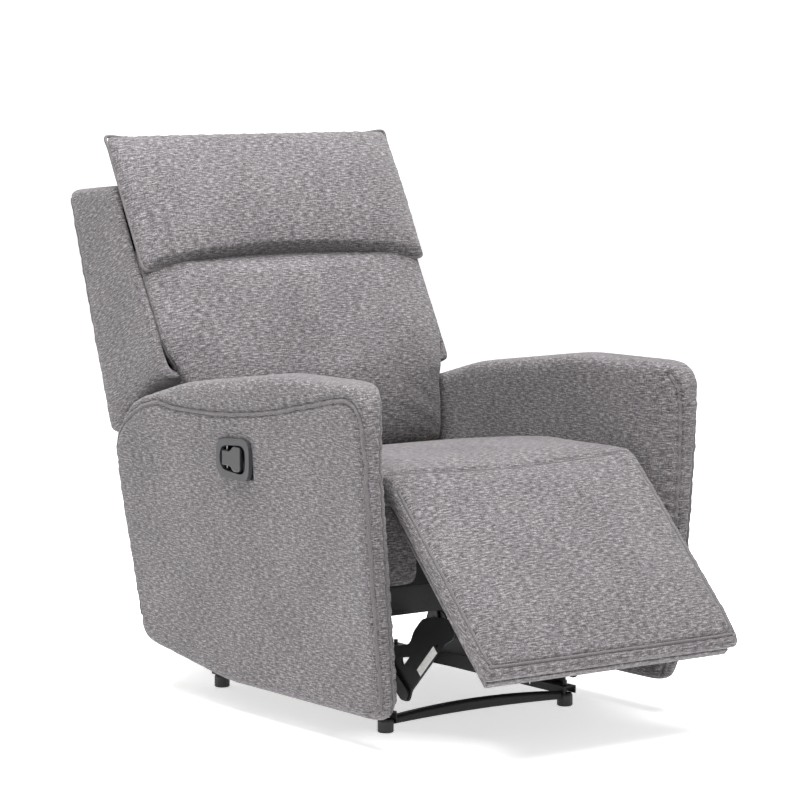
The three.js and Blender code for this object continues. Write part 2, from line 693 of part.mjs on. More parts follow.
const UPRIGHT_OUT = 250;
const UPRIGHT_IN = 225;
function backFrame() {
  const outlineOf = (z) => [shellFront(z) + 8, shellFront(z) + 50];
  const topZ = BACK_TOP - 60;
  const upright = (x0, x1) =>
    sideways(
      outline([
        [528, BACK_HINGE[1] + 30], [524, WING_FOOT - 8, 20], [outlineOf(topZ)[0], topZ],
        [outlineOf(topZ)[1], topZ - 20], [572, WING_FOOT - 8, 20], [574, BACK_HINGE[1] + 30],
      ]),
      x0,
      x1,
    );
  const rails = [BACK_HINGE[1] + 70, WING_FOOT + 20, topZ - 50].map((z) => {
    const front = Math.max(530, shellFront(z + 45) + 10);
    return box(-UPRIGHT_IN - 1, UPRIGHT_IN + 1, front, front + 22, z, z + 45);
  });
  return join(upright(-UPRIGHT_OUT, -UPRIGHT_IN), upright(UPRIGHT_IN, UPRIGHT_OUT), ...rails);
}
add("back_frame", backFrame(), timber);

addPair(
  "back_bracket",
  () => {
    const x0 = -LANE_SWING - STEEL;
    const [y, z] = BACK_HINGE;
    const plate = sideways(
      outline([
        [y - 18, z - 18, 14], [y + 22, z - 18, 14], [y + 52, z + 26, 10], [y + 52, z + 58, 10],
        [y + 10, z + 58, 10], [y - 18, z + 26, 14],
      ]),
      x0,
      x0 + STEEL,
    );
    const foot = box(-UPRIGHT_OUT + 2, x0 + 1, y + 9, y + 50, z + 24, z + 30 - TOUCH);
    const hole = pin(BACK_HINGE, 6 + RUN, x0 - 2, x0 + STEEL + 2);
    return geometryOf(solid(plate).add(solid(foot)).subtract(solid(hole)));
  },
  blackSteel,
);
addPair(
  "back_hinge_pin",
  () =>
    join(
      pin(BACK_HINGE, 6, -LANE_SWING - STEEL - 4, -LANE_PLATE + 3),
      pin(BACK_HINGE, 10, -LANE_PLATE + 0.5, -LANE_PLATE + 4),
    ),
  zincSteel,
);

function backCushion() {
  const gap = 1;
  const seam = (z) => shellFront(z) - gap;
  const upper = sideways(
    outline([
      [seam(WING_FOOT + 15), WING_FOOT + 15], [seam(768), 768, 5], [578, 766, 10],
      [522, 665, 40], [481, WING_FOOT + 15],
    ]),
    -BACK_HALF_WIDTH + 14,
    BACK_HALF_WIDTH - 14,
  );
  const lower = sideways(
    outline([
      [SEAT_REAR + 9, SEAT_HEIGHT - 40, 12], [500, SEAT_HEIGHT - 40], [500, WING_FOOT - 12],
      [seam(WING_FOOT + 40), WING_FOOT + 40], [500, WING_FOOT + 40], [470, WING_FOOT - 17, 30],
      [450, 505, 25],
    ]),
    -LOWER_HALF,
    LOWER_HALF,
  );
  return join(upper, lower);
}
add("back_cushion", backCushion(), fabric);

// The pillow lies on the backrest's front face and is drawn upright, then leaned.
function headrestPillow() {
  const profile = outline([
    [12, 0, 6], [12, PILLOW_HEIGHT, 6], [-6, PILLOW_HEIGHT, 6], [-34, PILLOW_HEIGHT - 22, 10],
    [-44, PILLOW_HEIGHT / 2, 40], [-34, 14, 10], [-8, 0, 6],
  ]);
  const lowerEdge = [shellFront(781) - 17, 781];
  return sideways(profile, -PILLOW_HALF_WIDTH, PILLOW_HALF_WIDTH)
    .rotateX(-degrees(BACK_LEAN))
    .translate(0, ...lowerEdge);
}
add("headrest_pillow", headrestPillow(), fabric);

// ---------------------------------------------------------------- footrest
// Points of the footrest are (along, below): along it from the hinge, and below its middle plane.
const slope = degrees(FOOTREST_SLOPE);
const onFootrest = (along, below) => [
  FOOT_HINGE[0] - along * Math.cos(slope) + below * Math.sin(slope),
  FOOT_HINGE[1] - along * Math.sin(slope) - below * Math.cos(slope),
];
const footrestOutline = (corners) =>
  outline(corners.map(([along, below, radius]) => [...onFootrest(along, below), radius]));
const REST_START = 16;
const REST_END = REST_START + FOOTREST_LENGTH;
const UNDERSIDE = 17;

add(
  "footrest_cushion",
  sideways(
    footrestOutline([
      [REST_START, -TOUCH], [REST_END, -TOUCH, 4], [REST_END, -22, 9], [REST_END - 40, -31, 16],
      [REST_START, -31, 8],
    ]),
    -SEAT_HALF_WIDTH + 3,
    SEAT_HALF_WIDTH - 3,
  ),
  fabric,
);
add(
  "footrest_board",
  sideways(
    footrestOutline([
      [REST_START + 2, 0], [REST_END - 3, 0, 3], [REST_END - 3, UNDERSIDE, 6], [REST_START + 2, UNDERSIDE, 3],
    ]),
    -SEAT_HALF_WIDTH + 18,
    SEAT_HALF_WIDTH - 18,
  ),
  fabric,
);

addPair(
  "footrest_bracket",
  () => {
    const x0 = -LANE_BRACKET - STEEL;
    const x1 = x0 + STEEL;
    const under = UNDERSIDE + TOUCH;
    const toggle = [TOGGLE[0], TOGGLE[1]];
    const stay = onFootrest(REST_END - 36, under + 12);
    const crossing = [-100, 150];
    const neck = sideways(
      footrestOutline([
        [-8, -8, 7], [9, -8, 5], [REST_START - 2, under, 2], [REST_END - 20, under],
        [REST_END - 20, under + 3.4], [-2, under + 3.4, 6], [-8, 4, 3],
      ]),
      x0,
      x1,
    );
    const flange = sideways(
      footrestOutline([
        [REST_START + 14, under], [REST_END - 20, under], [REST_END - 20, under + 3], [REST_START + 14, under + 3],
      ]),
      x0 + 1,
      x1 + 20,
    );
    const hook = sideways(
      footrestOutline([[236, under], [318, under], [232, 118, 8], [214, 108, 8], [226, 60, 30]]),
      x0,
      x1,
    );
    const eye = sideways(barOutline(toggle, onFootrest(224, 108), 28), x0, x1);
    const web = sideways(barOutline(toggle, crossing, 20), x0, x1);
    const stayBar = sideways(barOutline(stay, crossing, 23), x0, x1);
    const heel = sideways(barOutline(stay, onFootrest(REST_END - 50, under + 4), 16), x0, x1);
    const trim = sideways(
      footrestOutline([[100, under - 60], [REST_END + 60, under - 60], [REST_END + 60, under], [100, under]]),
      x0 - 2,
      x1 + 2,
    );
    const whole = [flange, hook, eye, web, stayBar, heel].reduce((sum, piece) => sum.add(solid(piece)), solid(neck));
    const bored = whole.subtract(solid(trim)).subtract(solid(pin(FOOT_HINGE, 4 + RUN, x0 - 2, x1 + 2)));
    return geometryOf(bored.add(solid(pin(TOGGLE, 5, -LANE_FRONT_LINK - STEEL - 1, x0 + 1))));
  },
  blackSteel,
);

// ---------------------------------------------------------------- footrest links
addPair(
  "front_link",
  () => {
    const x0 = -LANE_FRONT_LINK - STEEL;
    const [ty, tz] = TOGGLE;
    const [ey, ez] = ELBOW;
    const plate = sideways(
      outline([
        [ty - 10, tz - 16, 8], [ty + 14, tz - 28, 6], [ey - 18, ez + 6, 4], [ey - 10, ez - 15, 8],
        [ey + 10, ez - 15, 8], [ey + 22, ez + 14, 6], [ey + 32, ez + 44, 6], [ey + 32, ez + 78, 6],
        [ey - 14, ez + 88, 12], [ey - 24, ez + 112, 10], [ey - 50, ez + 138, 8], [ty + 44, tz + 16, 8],
        [ty - 6, tz + 17, 7], [ty - 19, tz + 8, 6],
      ]),
      x0,
      x0 + STEEL,
    );
    const gap = sideways(
      outline([[ey + 14, ez + 60, 2], [ey - 13, ez + 65, 2], [ey + 6, ez + 46, 2]]),
      x0 - 2,
      x0 + STEEL + 2,
    );
    const along = (share, off) => [
      ty + (ey - ty) * share - off * Math.SQRT1_2,
      tz + (ez - tz) * share - off * Math.SQRT1_2,
    ];
    const holes = [along(0.27, -2), along(0.34, 3), along(0.58, -2)].map((at) =>
      pin(at, 3, x0 - 2, x0 + STEEL + 2, 12),
    );
    const bores = [TOGGLE, ELBOW].map((at) => pin(at, 5 + RUN, x0 - 2, x0 + STEEL + 2));
    return cut(plate, gap, ...holes, ...bores);
  },
  blackSteel,
);
addPair(
  "rear_link",
  () => {
    const x0 = -LANE_REAR_LINK - STEEL;
    const knee = [DRIVE[0] + 40, DRIVE[1] - 145];
    const upper = sideways(barOutline(DRIVE, knee, 26), x0, x0 + STEEL);
    const lower = sideways(barOutline(knee, ELBOW, 26), x0, x0 + STEEL);
    const boss = pin(DRIVE, 19, x0, x0 + STEEL, 24);
    const stub = pin(ELBOW, 5, x0 + 1, -LANE_FRONT_LINK + 1);
    const bore = pin(DRIVE, TUBE_RADIUS + TOUCH, x0 - 2, x0 + STEEL + 2, 24);
    const whole = [lower, boss, stub].reduce((sum, piece) => sum.add(solid(piece)), solid(upper));
    return geometryOf(whole.subtract(solid(bore)));
  },
  blackSteel,
);
add("drive_tube", pin(DRIVE, TUBE_RADIUS, -LANE_PLATE - STEEL - 0.5, LANE_PLATE + STEEL + 0.5, 24), blackSteel);

// The origin is on the floor under the middle of the chair's length.
const length = new THREE.Box3().setFromObject(chair);
chair.position.y = -(length.min.y + length.max.y) / 2;

export default chair;
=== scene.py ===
import math

import bmesh
import bpy
import numpy as np
from mathutils import Matrix, Vector
from mathutils.bvhtree import BVHTree
from mathutils.kdtree import KDTree


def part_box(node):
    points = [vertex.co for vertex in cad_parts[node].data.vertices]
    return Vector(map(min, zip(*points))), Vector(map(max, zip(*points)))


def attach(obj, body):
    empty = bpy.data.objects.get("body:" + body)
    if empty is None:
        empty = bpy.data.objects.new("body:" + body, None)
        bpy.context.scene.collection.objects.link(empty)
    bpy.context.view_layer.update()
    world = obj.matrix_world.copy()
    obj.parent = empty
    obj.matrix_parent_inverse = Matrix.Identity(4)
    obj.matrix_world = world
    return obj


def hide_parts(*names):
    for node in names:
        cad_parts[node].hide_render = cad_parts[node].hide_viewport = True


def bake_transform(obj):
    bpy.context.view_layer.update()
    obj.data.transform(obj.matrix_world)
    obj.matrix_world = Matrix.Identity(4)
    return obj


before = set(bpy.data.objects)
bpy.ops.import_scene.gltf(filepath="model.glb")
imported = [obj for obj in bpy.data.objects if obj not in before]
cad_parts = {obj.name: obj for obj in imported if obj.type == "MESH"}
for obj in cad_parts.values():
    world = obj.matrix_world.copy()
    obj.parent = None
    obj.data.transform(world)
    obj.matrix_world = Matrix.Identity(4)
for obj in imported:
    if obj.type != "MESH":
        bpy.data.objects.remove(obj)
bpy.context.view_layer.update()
MM = 0.001


# Base, links and pivots: folded and pressed steel strip, dipped in satin black paint and riveted together
# with black pins. The paint rounds the edges a little, is faintly orange-peeled and picks up dust.
STEEL_BLACK = "#0C0C0E"
STEEL_DUST = "#19191B"
PAINT_GRAIN = 1.2 * MM
PAINTED_NODES = [
    "base_rail",
    "base_upright",
    "arm_bracket_front",
    "arm_bracket_rear",
    "footrest_hinge_tab",
    "seat_plate",
    "swing_link_front",
    "swing_link_rear",
    "back_bracket",
    "footrest_bracket",
    "front_link",
    "rear_link",
]
PAINTED_SINGLES = [
    "front_crossbar",
    "rear_crossbar",
    "latch_bracket",
    "seat_front_beam",
    "seat_rear_rail",
    "drive_tube",
]


def srgb(code):
    """The linear colour of a #RRGGBB value."""
    parts = [int(code[i : i + 2], 16) / 255 for i in (1, 3, 5)]
    linear = [c / 12.92 if c <= 0.04045 else ((c + 0.055) / 1.055) ** 2.4 for c in parts]
    return (*linear, 1.0)


def add_node(material, kind, links=(), **settings):
    """A new node in the material. Settings are its properties, or its inputs by name; links go
    from (node, output) to an input of the new one."""
    tree = material.node_tree
    new = tree.nodes.new(kind)
    for name, value in settings.items():
        if hasattr(new, name):
            setattr(new, name, value)
        else:
            new.inputs[name.replace("_", " ")].default_value = value
    for socket, (source, output) in dict(links).items():
        tree.links.new(source.outputs[output], new.inputs[socket])
    return new


def new_material(name, **settings):
    """A material with its surface shader; settings are the shader's inputs."""
    material = bpy.data.materials.new(name)
    material.use_nodes = True
    shader = material.node_tree.nodes["Principled BSDF"]
    for socket, value in settings.items():
        shader.inputs[socket.replace("_", " ")].default_value = value
    return material, shader


def two_tone(material, shader, low, high, grain, bump, detail=4.0, stretch=(1, 1, 1)):
    """Colour that wanders between two tones at the grain's size, with the same grain as relief."""
    place = add_node(material, "ShaderNodeTexCoord")
    fit = add_node(material, "ShaderNodeMapping", {"Vector": (place, "Object")}, Scale=stretch)
    noise = add_node(
        material, "ShaderNodeTexNoise", {"Vector": (fit, "Vector")}, Scale=1 / grain, Detail=detail
    )
    tone = add_node(material, "ShaderNodeValToRGB", {"Fac": (noise, "Fac")})
    tone.color_ramp.elements[0].position = 0.35
    tone.color_ramp.elements[0].color = srgb(low)
    tone.color_ramp.elements[1].position = 0.65
    tone.color_ramp.elements[1].color = srgb(high)
    relief = add_node(
        material, "ShaderNodeBump", {"Height": (noise, "Fac")}, Strength=bump, Distance=0.1 * MM
    )
    material.node_tree.links.new(tone.outputs["Color"], shader.inputs["Base Color"])
    material.node_tree.links.new(relief.outputs["Normal"], shader.inputs["Normal"])


painted_steel, shader = new_material(
    "satin_black_painted_steel", Roughness=0.5, IOR=1.5, Specular_IOR_Level=0.3
)
two_tone(painted_steel, shader, STEEL_BLACK, STEEL_DUST, PAINT_GRAIN, 0.25)


def finish_nodes(material, names):
    """Gives the named frame parts this finish in place of their plain colour."""
    for name in names:
        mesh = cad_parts[name].data
        mesh.materials.clear()
        mesh.materials.append(material)


finish_nodes(painted_steel, [f"{n}_{side}" for n in PAINTED_NODES for side in ("right", "left")])
finish_nodes(painted_steel, PAINTED_SINGLES)


# Feet and levelling studs: moulded black glides with a shallow grain, screwed into the base rails.
GLIDE_BLACK = "#121214"
glide, shader = new_material("moulded_nylon_glide", Roughness=0.55, IOR=1.53)
two_tone(glide, shader, GLIDE_BLACK, "#1E1E20", 0.8 * MM, 0.4)
finish_nodes(glide, [f"foot_{end}_{side}" for end in ("front", "rear") for side in ("right", "left")])


# Hinge pins, the paddle's pin and the latch: zinc-plated turned steel, pale grey with a fine turning grain.
zinc, shader = new_material("zinc_plated_steel", Metallic=1.0, Roughness=0.38)
two_tone(zinc, shader, "#8E9094", "#B4B6BA", 0.9 * MM, 0.2)
finish_nodes(zinc, ["back_hinge_pin_right", "back_hinge_pin_left", "paddle_pin", "latch_lever"])
finish_nodes(zinc, [f"seat_spring_{place}" for place in ("right", "middle", "left")])


# Timber in the arms, the seat box and the back: sawn plywood and pine rails, stapled and glued, out of sight
# under the covers. Sawn grain runs across the chair.
timber, shader = new_material("sawn_plywood", Roughness=0.8, IOR=1.45)
two_tone(timber, shader, "#9C7A50", "#C4A272", 6 * MM, 0.4, stretch=(0.12, 1, 1))
finish_nodes(timber, ["seat_side_rail_right", "seat_side_rail_left", "back_frame"])


# Dust cloth: black spun-bonded sheet stapled over the front board, fibrous and quite matt.
dust_cloth, shader = new_material("black_spunbond_cloth", Roughness=0.95, IOR=1.4)
two_tone(dust_cloth, shader, "#0C0C0D", "#1A1A1C", 1.5 * MM, 0.6)
finish_nodes(dust_cloth, ["seat_front_board"])


# Arms: plywood panels padded with foam and covered in a heathered grey polyester tweed. A flat outer panel is
# felled to a band that runs over the top and down the front, and the front panel's inner edge is piped.
TWEED_DARK = "#292729"
TWEED_MID = "#4C494B"
TWEED_LIGHT = "#7D797B"
WEFT = (13.0 * MM, 2.3 * MM)  # length and height of a slub, coarser than threads too fine to show
WARP = (2.2 * MM, 7.0 * MM)
FLECK = 1.7 * MM
BLOTCH = 130 * MM
FEET_Y = sum(p.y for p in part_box("foot_front_right")) / 2  # lengths are counted back from the front feet
ARM_SKIN = 7 * MM
OUTER_SEAM = [
    (0.590, 0.140), (0.612, 0.230), (0.634, 0.320), (0.640, 0.420), (0.628, 0.475), (0.585, 0.512),
    (0.493, 0.551), (0.409, 0.548), (0.277, 0.549), (0.134, 0.562), (0.011, 0.584), (-0.100, 0.605),
    (-0.140, 0.600), (-0.160, 0.576), (-0.169, 0.529), (-0.175, 0.445), (-0.175, 0.300), (-0.174, 0.110),
    (-0.160, 0.078), (-0.130, 0.064),
]
INNER_SEAM = [
    (0.316, -0.150, 0.612), (0.321, -0.168, 0.585), (0.322, -0.176, 0.530), (0.320, -0.177, 0.400),
    (0.312, -0.177, 0.250), (0.305, -0.176, 0.120), (0.303, -0.160, 0.075),
]


tweed, shader = new_material("heathered_polyester_tweed", Roughness=0.92, IOR=1.45)
shader.inputs["Specular IOR Level"].default_value = 0.25
shader.inputs["Sheen Weight"].default_value = 0.12
shader.inputs["Sheen Roughness"].default_value = 0.55
cloth = add_node(tweed, "ShaderNodeTexCoord")
weft = add_node(tweed, "ShaderNodeMapping", {"Vector": (cloth, "UV")}, Scale=(1 / WEFT[0], 1 / WEFT[1], 1))
warp = add_node(tweed, "ShaderNodeMapping", {"Vector": (cloth, "UV")}, Scale=(1 / WARP[0], 1 / WARP[1], 1))
weft_slub = add_node(
    tweed, "ShaderNodeTexNoise", {"Vector": (weft, "Vector")}, Scale=1, Detail=3, Roughness=0.6
)
warp_slub = add_node(
    tweed, "ShaderNodeTexNoise", {"Vector": (warp, "Vector")}, Scale=1, Detail=2, Roughness=0.6
)
fleck = add_node(tweed, "ShaderNodeTexNoise", {"Vector": (cloth, "UV")}, Scale=1 / FLECK, Detail=2)
blotch = add_node(tweed, "ShaderNodeTexNoise", {"Vector": (cloth, "UV")}, Scale=1 / BLOTCH, Detail=3)
threads = add_node(tweed, "ShaderNodeMix", {2: (weft_slub, "Fac"), 3: (warp_slub, "Fac")}, Factor=0.3)
flecked = add_node(tweed, "ShaderNodeMix", {2: (threads, "Result"), 3: (fleck, "Fac")}, Factor=0.2)
worn = add_node(tweed, "ShaderNodeMix", {2: (flecked, "Result"), 3: (blotch, "Fac")}, Factor=0.06)
heather = add_node(tweed, "ShaderNodeValToRGB", {"Fac": (worn, "Result")})
heather.color_ramp.elements[0].position = 0.40
heather.color_ramp.elements[0].color = srgb(TWEED_DARK)
heather.color_ramp.elements[1].position = 0.61
heather.color_ramp.elements[1].color = srgb(TWEED_LIGHT)
heather.color_ramp.elements.new(0.5).color = srgb(TWEED_MID)
nap = add_node(tweed, "ShaderNodeBump", {"Height": (worn, "Result")}, Strength=0.5, Distance=0.8 * MM)
tweed.node_tree.links.new(heather.outputs["Color"], shader.inputs["Base Color"])
tweed.node_tree.links.new(nap.outputs["Normal"], shader.inputs["Normal"])


def settled(piece):
    """Takes the piece's modifiers into its mesh."""
    bpy.context.view_layer.update()
    shown = piece.evaluated_get(bpy.context.evaluated_depsgraph_get())
    mesh = bpy.data.meshes.new_from_object(shown)
    piece.modifiers.clear()
    piece.data = mesh
    return piece


def new_piece(name, form, material=tweed):
    """An object made of this bmesh, which is used up."""
    mesh = bpy.data.meshes.new(name)
    form.to_mesh(mesh)
    form.free()
    mesh.materials.append(material)
    piece = bpy.data.objects.new(name, mesh)
    bpy.context.scene.collection.objects.link(piece)
    return piece


def rounded_off(piece, rounds):
    """Evens out the skin, which also rounds its corners."""
    form = bmesh.new()
    form.from_mesh(piece.data)
    for _ in range(rounds):
        bmesh.ops.smooth_vert(
            form, verts=form.verts, factor=0.5, use_axis_x=True, use_axis_y=True, use_axis_z=True
        )
    form.to_mesh(piece.data)
    form.free()
    return piece


def skin_over(name, form, grid, rounds):
    """The cover over a foam form: one even closed skin, with the form's corners rounded off."""
    piece = new_piece(name, form)
    remesh = piece.modifiers.new("skin", "REMESH")
    remesh.mode = "VOXEL"
    remesh.voxel_size = grid
    settled(piece)
    return rounded_off(piece, rounds)


def foam_of(*nodes):
    """The frame's foam blocks as one bmesh, with their loose triangles joined."""
    form = bmesh.new()
    for node in nodes:
        form.from_mesh(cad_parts[node].data)
    bmesh.ops.remove_doubles(form, verts=form.verts, dist=1e-5)
    return form


def refined(piece):
    """One smooth subdivision, so that seams and folds can be pressed into the skin."""
    finer = piece.modifiers.new("finer", "SUBSURF")
    finer.levels = 1
    finer.render_levels = 1
    return settled(piece)


def line_through(points, step=3 * MM, closed=False):
    """Evenly spaced points on a smooth line through the given ones."""
    points = [Vector(p) for p in points]
    ring = points + points[:1] if closed else points
    dense = []
    for i in range(len(ring) - 1):
        before = ring[i - 1] if i else (points[-1] if closed else ring[0])
        after = ring[i + 2] if i + 2 < len(ring) else (points[1] if closed else ring[-1])
        a, b = ring[i], ring[i + 1]
        pieces = max(1, round((b - a).length / step))
        for k in range(pieces):
            t = k / pieces
            dense.append(
                0.5
                * (
                    2 * a
                    + (b - before) * t
                    + (2 * before - 5 * a + 4 * b - after) * t**2
                    + (3 * a - before - 3 * b + after) * t**3
                )
            )
    return dense if closed else dense + [ring[-1]]


def onto(piece, line, lift=0.0):
    """The line laid on the piece's skin."""
    tree = BVHTree.FromPolygons(
        [v.co for v in piece.data.vertices], [p.vertices for p in piece.data.polygons]
    )
    laid = []
    for point in line:
        spot, normal, _, _ = tree.find_nearest(point)
        laid.append(spot + normal * lift)
    return laid


def near_line(piece, line, reach):
    """Each point of the skin within reach of the line, with its distance and how far along the line it is."""
    tree = KDTree(len(line))
    for i, point in enumerate(line):
        tree.insert(point, i)
    tree.balance()
    length = [0.0]
    for a, b in zip(line, line[1:]):
        length.append(length[-1] + (b - a).length)
    for vertex in piece.data.vertices:
        _, i, far = tree.find(vertex.co)
        if far < reach:
            yield vertex, far, length[i]


def press_seam(piece, line, width, depth):
    """The seam pulls the cover down into the foam on both sides of the line."""
    moves = [
        (vertex, vertex.normal * (-depth * (1 - (far / width) ** 2) ** 2))
        for vertex, far, _ in near_line(piece, line, width)
    ]
    for vertex, move in moves:
        vertex.co += move


def pucker(piece, line, reach, height, wave):
    """Gathers along the seam: low folds across it that die out in the cover."""
    moves = []
    for vertex, far, along in near_line(piece, line, reach):
        phase = 2 * math.pi * along / wave
        fold = math.sin(phase) + 0.6 * math.sin(2.37 * phase + 1.3) + 0.4 * math.sin(0.61 * phase + 0.4)
        moves.append((vertex, vertex.normal * (0.5 * height * fold * (1 - far / reach) ** 2)))
    for vertex, move in moves:
        vertex.co += move


def cord_along(name, line, radius, closed=False):
    """Piping, or a felled edge: a cloth-covered cord along the line."""
    curve = bpy.data.curves.new(name, "CURVE")
    curve.dimensions = "3D"
    curve.bevel_depth = radius
    curve.bevel_resolution = 2
    curve.use_fill_caps = True
    spline = curve.splines.new("POLY")
    spline.points.add(len(line) - 1)
    for point, place in zip(spline.points, line):
        point.co = (*place, 1)
    spline.use_cyclic_u = closed
    drawn = bpy.data.objects.new(name, curve)
    bpy.context.scene.collection.objects.link(drawn)
    bpy.context.view_layer.update()
    mesh = bpy.data.meshes.new_from_object(drawn.evaluated_get(bpy.context.evaluated_depsgraph_get()))
    bpy.data.objects.remove(drawn)
    mesh.name = name
    mesh.materials.clear()
    mesh.materials.append(tweed)
    piece = bpy.data.objects.new(name, mesh)
    bpy.context.scene.collection.objects.link(piece)
    return piece


def cut_cloth(piece, turn=0.0):
    """Lays the weave on the cover: each panel faces one way, the weft level on it, after the piece has been
    turned about its long axis to face its main panel up or forward."""
    mesh = piece.data
    mesh.shade_smooth()
    count = len(mesh.loops)
    places = np.empty(len(mesh.vertices) * 3)
    mesh.vertices.foreach_get("co", places)
    places = places.reshape(-1, 3)
    normals = np.empty(len(mesh.polygons) * 3)
    mesh.polygons.foreach_get("normal", normals)
    normals = normals.reshape(-1, 3)
    c, s = math.cos(turn), math.sin(turn)
    about_x = np.array([[1, 0, 0], [0, c, -s], [0, s, c]])
    places, normals = places @ about_x.T, normals @ about_x.T
    corners = np.empty(count, dtype=np.int32)
    mesh.loops.foreach_get("vertex_index", corners)
    sizes = np.empty(len(mesh.polygons), dtype=np.int32)
    mesh.polygons.foreach_get("loop_total", sizes)
    facing = np.repeat(np.abs(normals).argmax(1), sizes)
    spots = places[corners]
    across = np.where(facing == 0, spots[:, 1], spots[:, 0])
    up = np.where(facing == 2, spots[:, 1], spots[:, 2])
    layer = mesh.uv_layers.get("cloth") or mesh.uv_layers.new(name="cloth")
    layer.data.foreach_set("uv", np.stack([across, up + 0.37 * facing], 1).ravel().astype(np.float32))
    return piece


def upholster(piece, body, replaced=(), turn=0.0):
    """The last steps for a cover: weave, body, and what it stands for."""
    cut_cloth(piece, turn)
    if body:
        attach(piece, body)
    if replaced:
        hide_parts(*replaced)


NOSE_START = FEET_Y - 0.060  # forward of this the arm's inner side draws in towards its piped front panel
FRONT_SLIM = (2 * MM, 40 * MM)  # by this much at the floor and at the top
UNDER = 5 * MM
bezel_low, bezel_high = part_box("release_bezel")
arm_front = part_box("arm_pad_right")[0].y
for side, out in (("right", -1), ("left", 1)):
    form = foam_of(f"arm_pad_{side}")
    hull = bmesh.ops.convex_hull(form, input=form.verts)
    outside = {g for g in hull["geom"] if isinstance(g, bmesh.types.BMVert)}
    loose = [v for v in form.verts if v not in outside]
    bmesh.ops.delete(form, geom=loose, context="VERTS")
    arm = skin_over(f"arm_cover_{side}", form, ARM_SKIN, 8)
    refined(arm)
    for vertex in arm.data.vertices:
        inward = (0.376 - out * vertex.co.x) / 0.085
        nose = min(1.0, max(0.0, (NOSE_START - vertex.co.y) / (NOSE_START - arm_front)))
        height = min(1.0, max(0.0, (vertex.co.z - 0.10) / 0.40))
        slim = FRONT_SLIM[0] + (FRONT_SLIM[1] - FRONT_SLIM[0]) * height
        vertex.co.x += out * slim * max(0.0, inward) * nose**1.6
        vertex.co.z -= UNDER * min(1.0, max(0.0, (0.12 - vertex.co.z) / 0.06))
    seam = [(out * (0.377 - 0.085 * max(0, 0.53 - z)), y + FEET_Y, z) for y, z in OUTER_SEAM]
    seam = onto(arm, line_through(seam))
    inner = onto(arm, line_through([(out * x, y + FEET_Y, z) for x, y, z in INNER_SEAM]))
    pucker(arm, seam, 45 * MM, 1.4 * MM, 38 * MM)
    pucker(arm, inner, 60 * MM, 2.2 * MM, 26 * MM)
    press_seam(arm, seam, 13 * MM, 5 * MM)
    press_seam(arm, inner, 12 * MM, 5 * MM)
    if side == "right":
        for vertex in arm.data.vertices:
            y_in = bezel_low.y + 5 * MM < vertex.co.y < bezel_high.y - 5 * MM
            z_in = bezel_low.z + 5 * MM < vertex.co.z < bezel_high.z - 5 * MM
            if y_in and z_in and vertex.co.x < -0.34:
                vertex.co.x = bezel_high.x + 4 * MM
    upholster(arm, "base", [f"arm_pad_{side}", f"arm_frame_{side}"])
    for label, line, radius in (("felled_seam", seam, 3.8 * MM), ("piping", inner, 3.6 * MM)):
        cord = cord_along(f"arm_{label}_{side}", onto(arm, line, 0.4 * MM), radius)
        upholster(cord, "base")


# Front wraps: cloth-covered board either side of the black front, tucked under the seat's edge and stapled.
for side in ("right", "left"):
    form = foam_of(f"front_wrap_{side}")
    bmesh.ops.dissolve_limit(form, angle_limit=math.radians(3), verts=form.verts, edges=form.edges)
    rims = [e for e in form.edges if e.calc_face_angle(0) > math.radians(60)]
    bmesh.ops.bevel(form, geom=rims, offset=1.4 * MM, segments=3, profile=0.5, affect="EDGES", material=-1)
    wrap = new_piece(f"front_wrap_cover_{side}", form)
    upholster(wrap, "seat", [f"front_wrap_{side}"])


def stuffed(piece, most, sewn):
    """The stuffing swells the cover: a short cloth simulation with air pressure inside, held where
    sewn(vertex) is true, in which no point moves further than the most."""
    seams = piece.vertex_groups.new(name="sewn")
    seams.add([v.index for v in piece.data.vertices if sewn(v)], 1.0, "REPLACE")
    before = [v.co.copy() for v in piece.data.vertices]
    cloth_settings = piece.modifiers.new("stuffing", "CLOTH").settings
    cloth_settings.use_pressure = True
    cloth_settings.uniform_pressure_force = 4
    cloth_settings.effector_weights.gravity = 0
    cloth_settings.quality = 3
    cloth_settings.vertex_group_mass = "sewn"
    for number in range(1, 21):
        bpy.context.scene.frame_set(number)
    settled(piece)
    bpy.context.scene.frame_set(1)
    for vertex, start in zip(piece.data.vertices, before):
        move = vertex.co - start
        if move.length > most:
            vertex.co = start + move * (most / move.length)
    return rounded_off(piece, 3)


# Seat and footrest: two foam blocks under one cover, which bends over the hinge at the front edge. A single
# curved seam crosses it there, and the footrest's border is piped with a turned flange on three sides.
SEAT_GRID = 7 * MM
FOOT_HINGE = Vector((0, FEET_Y - 0.095, 0.440))
FOOT_TOP = Vector((0, FEET_Y - 0.117, 0.462))
FOOT_DOWN = Vector((0, -math.cos(math.radians(45.7)), -math.sin(math.radians(45.7))))
FOOT_OUT = Vector((0, FOOT_DOWN.z, -FOOT_DOWN.y))
FOOT_LONG = 0.411
NOSE_RADIUS = 30 * MM  # of the foam roll over the hinge
NOSE_LONG = 0.558
NOSE_SHIFT = Vector((0, -2 * MM, 4 * MM))
form = foam_of("seat_cushion", "footrest_cushion")
bmesh.ops.create_cone(
    form,
    cap_ends=True,
    segments=32,
    radius1=NOSE_RADIUS,
    radius2=NOSE_RADIUS,
    depth=NOSE_LONG,
    matrix=Matrix.Translation(FOOT_HINGE + NOSE_SHIFT) @ Matrix.Rotation(math.radians(90), 4, "Y"),
)
seat = skin_over("seat_and_footrest_cover", form, SEAT_GRID, 7)
refined(stuffed(seat, 7 * MM, lambda v: abs(v.normal.x) > 0.35 or v.normal.y < -0.9 or v.normal.z < -0.3))
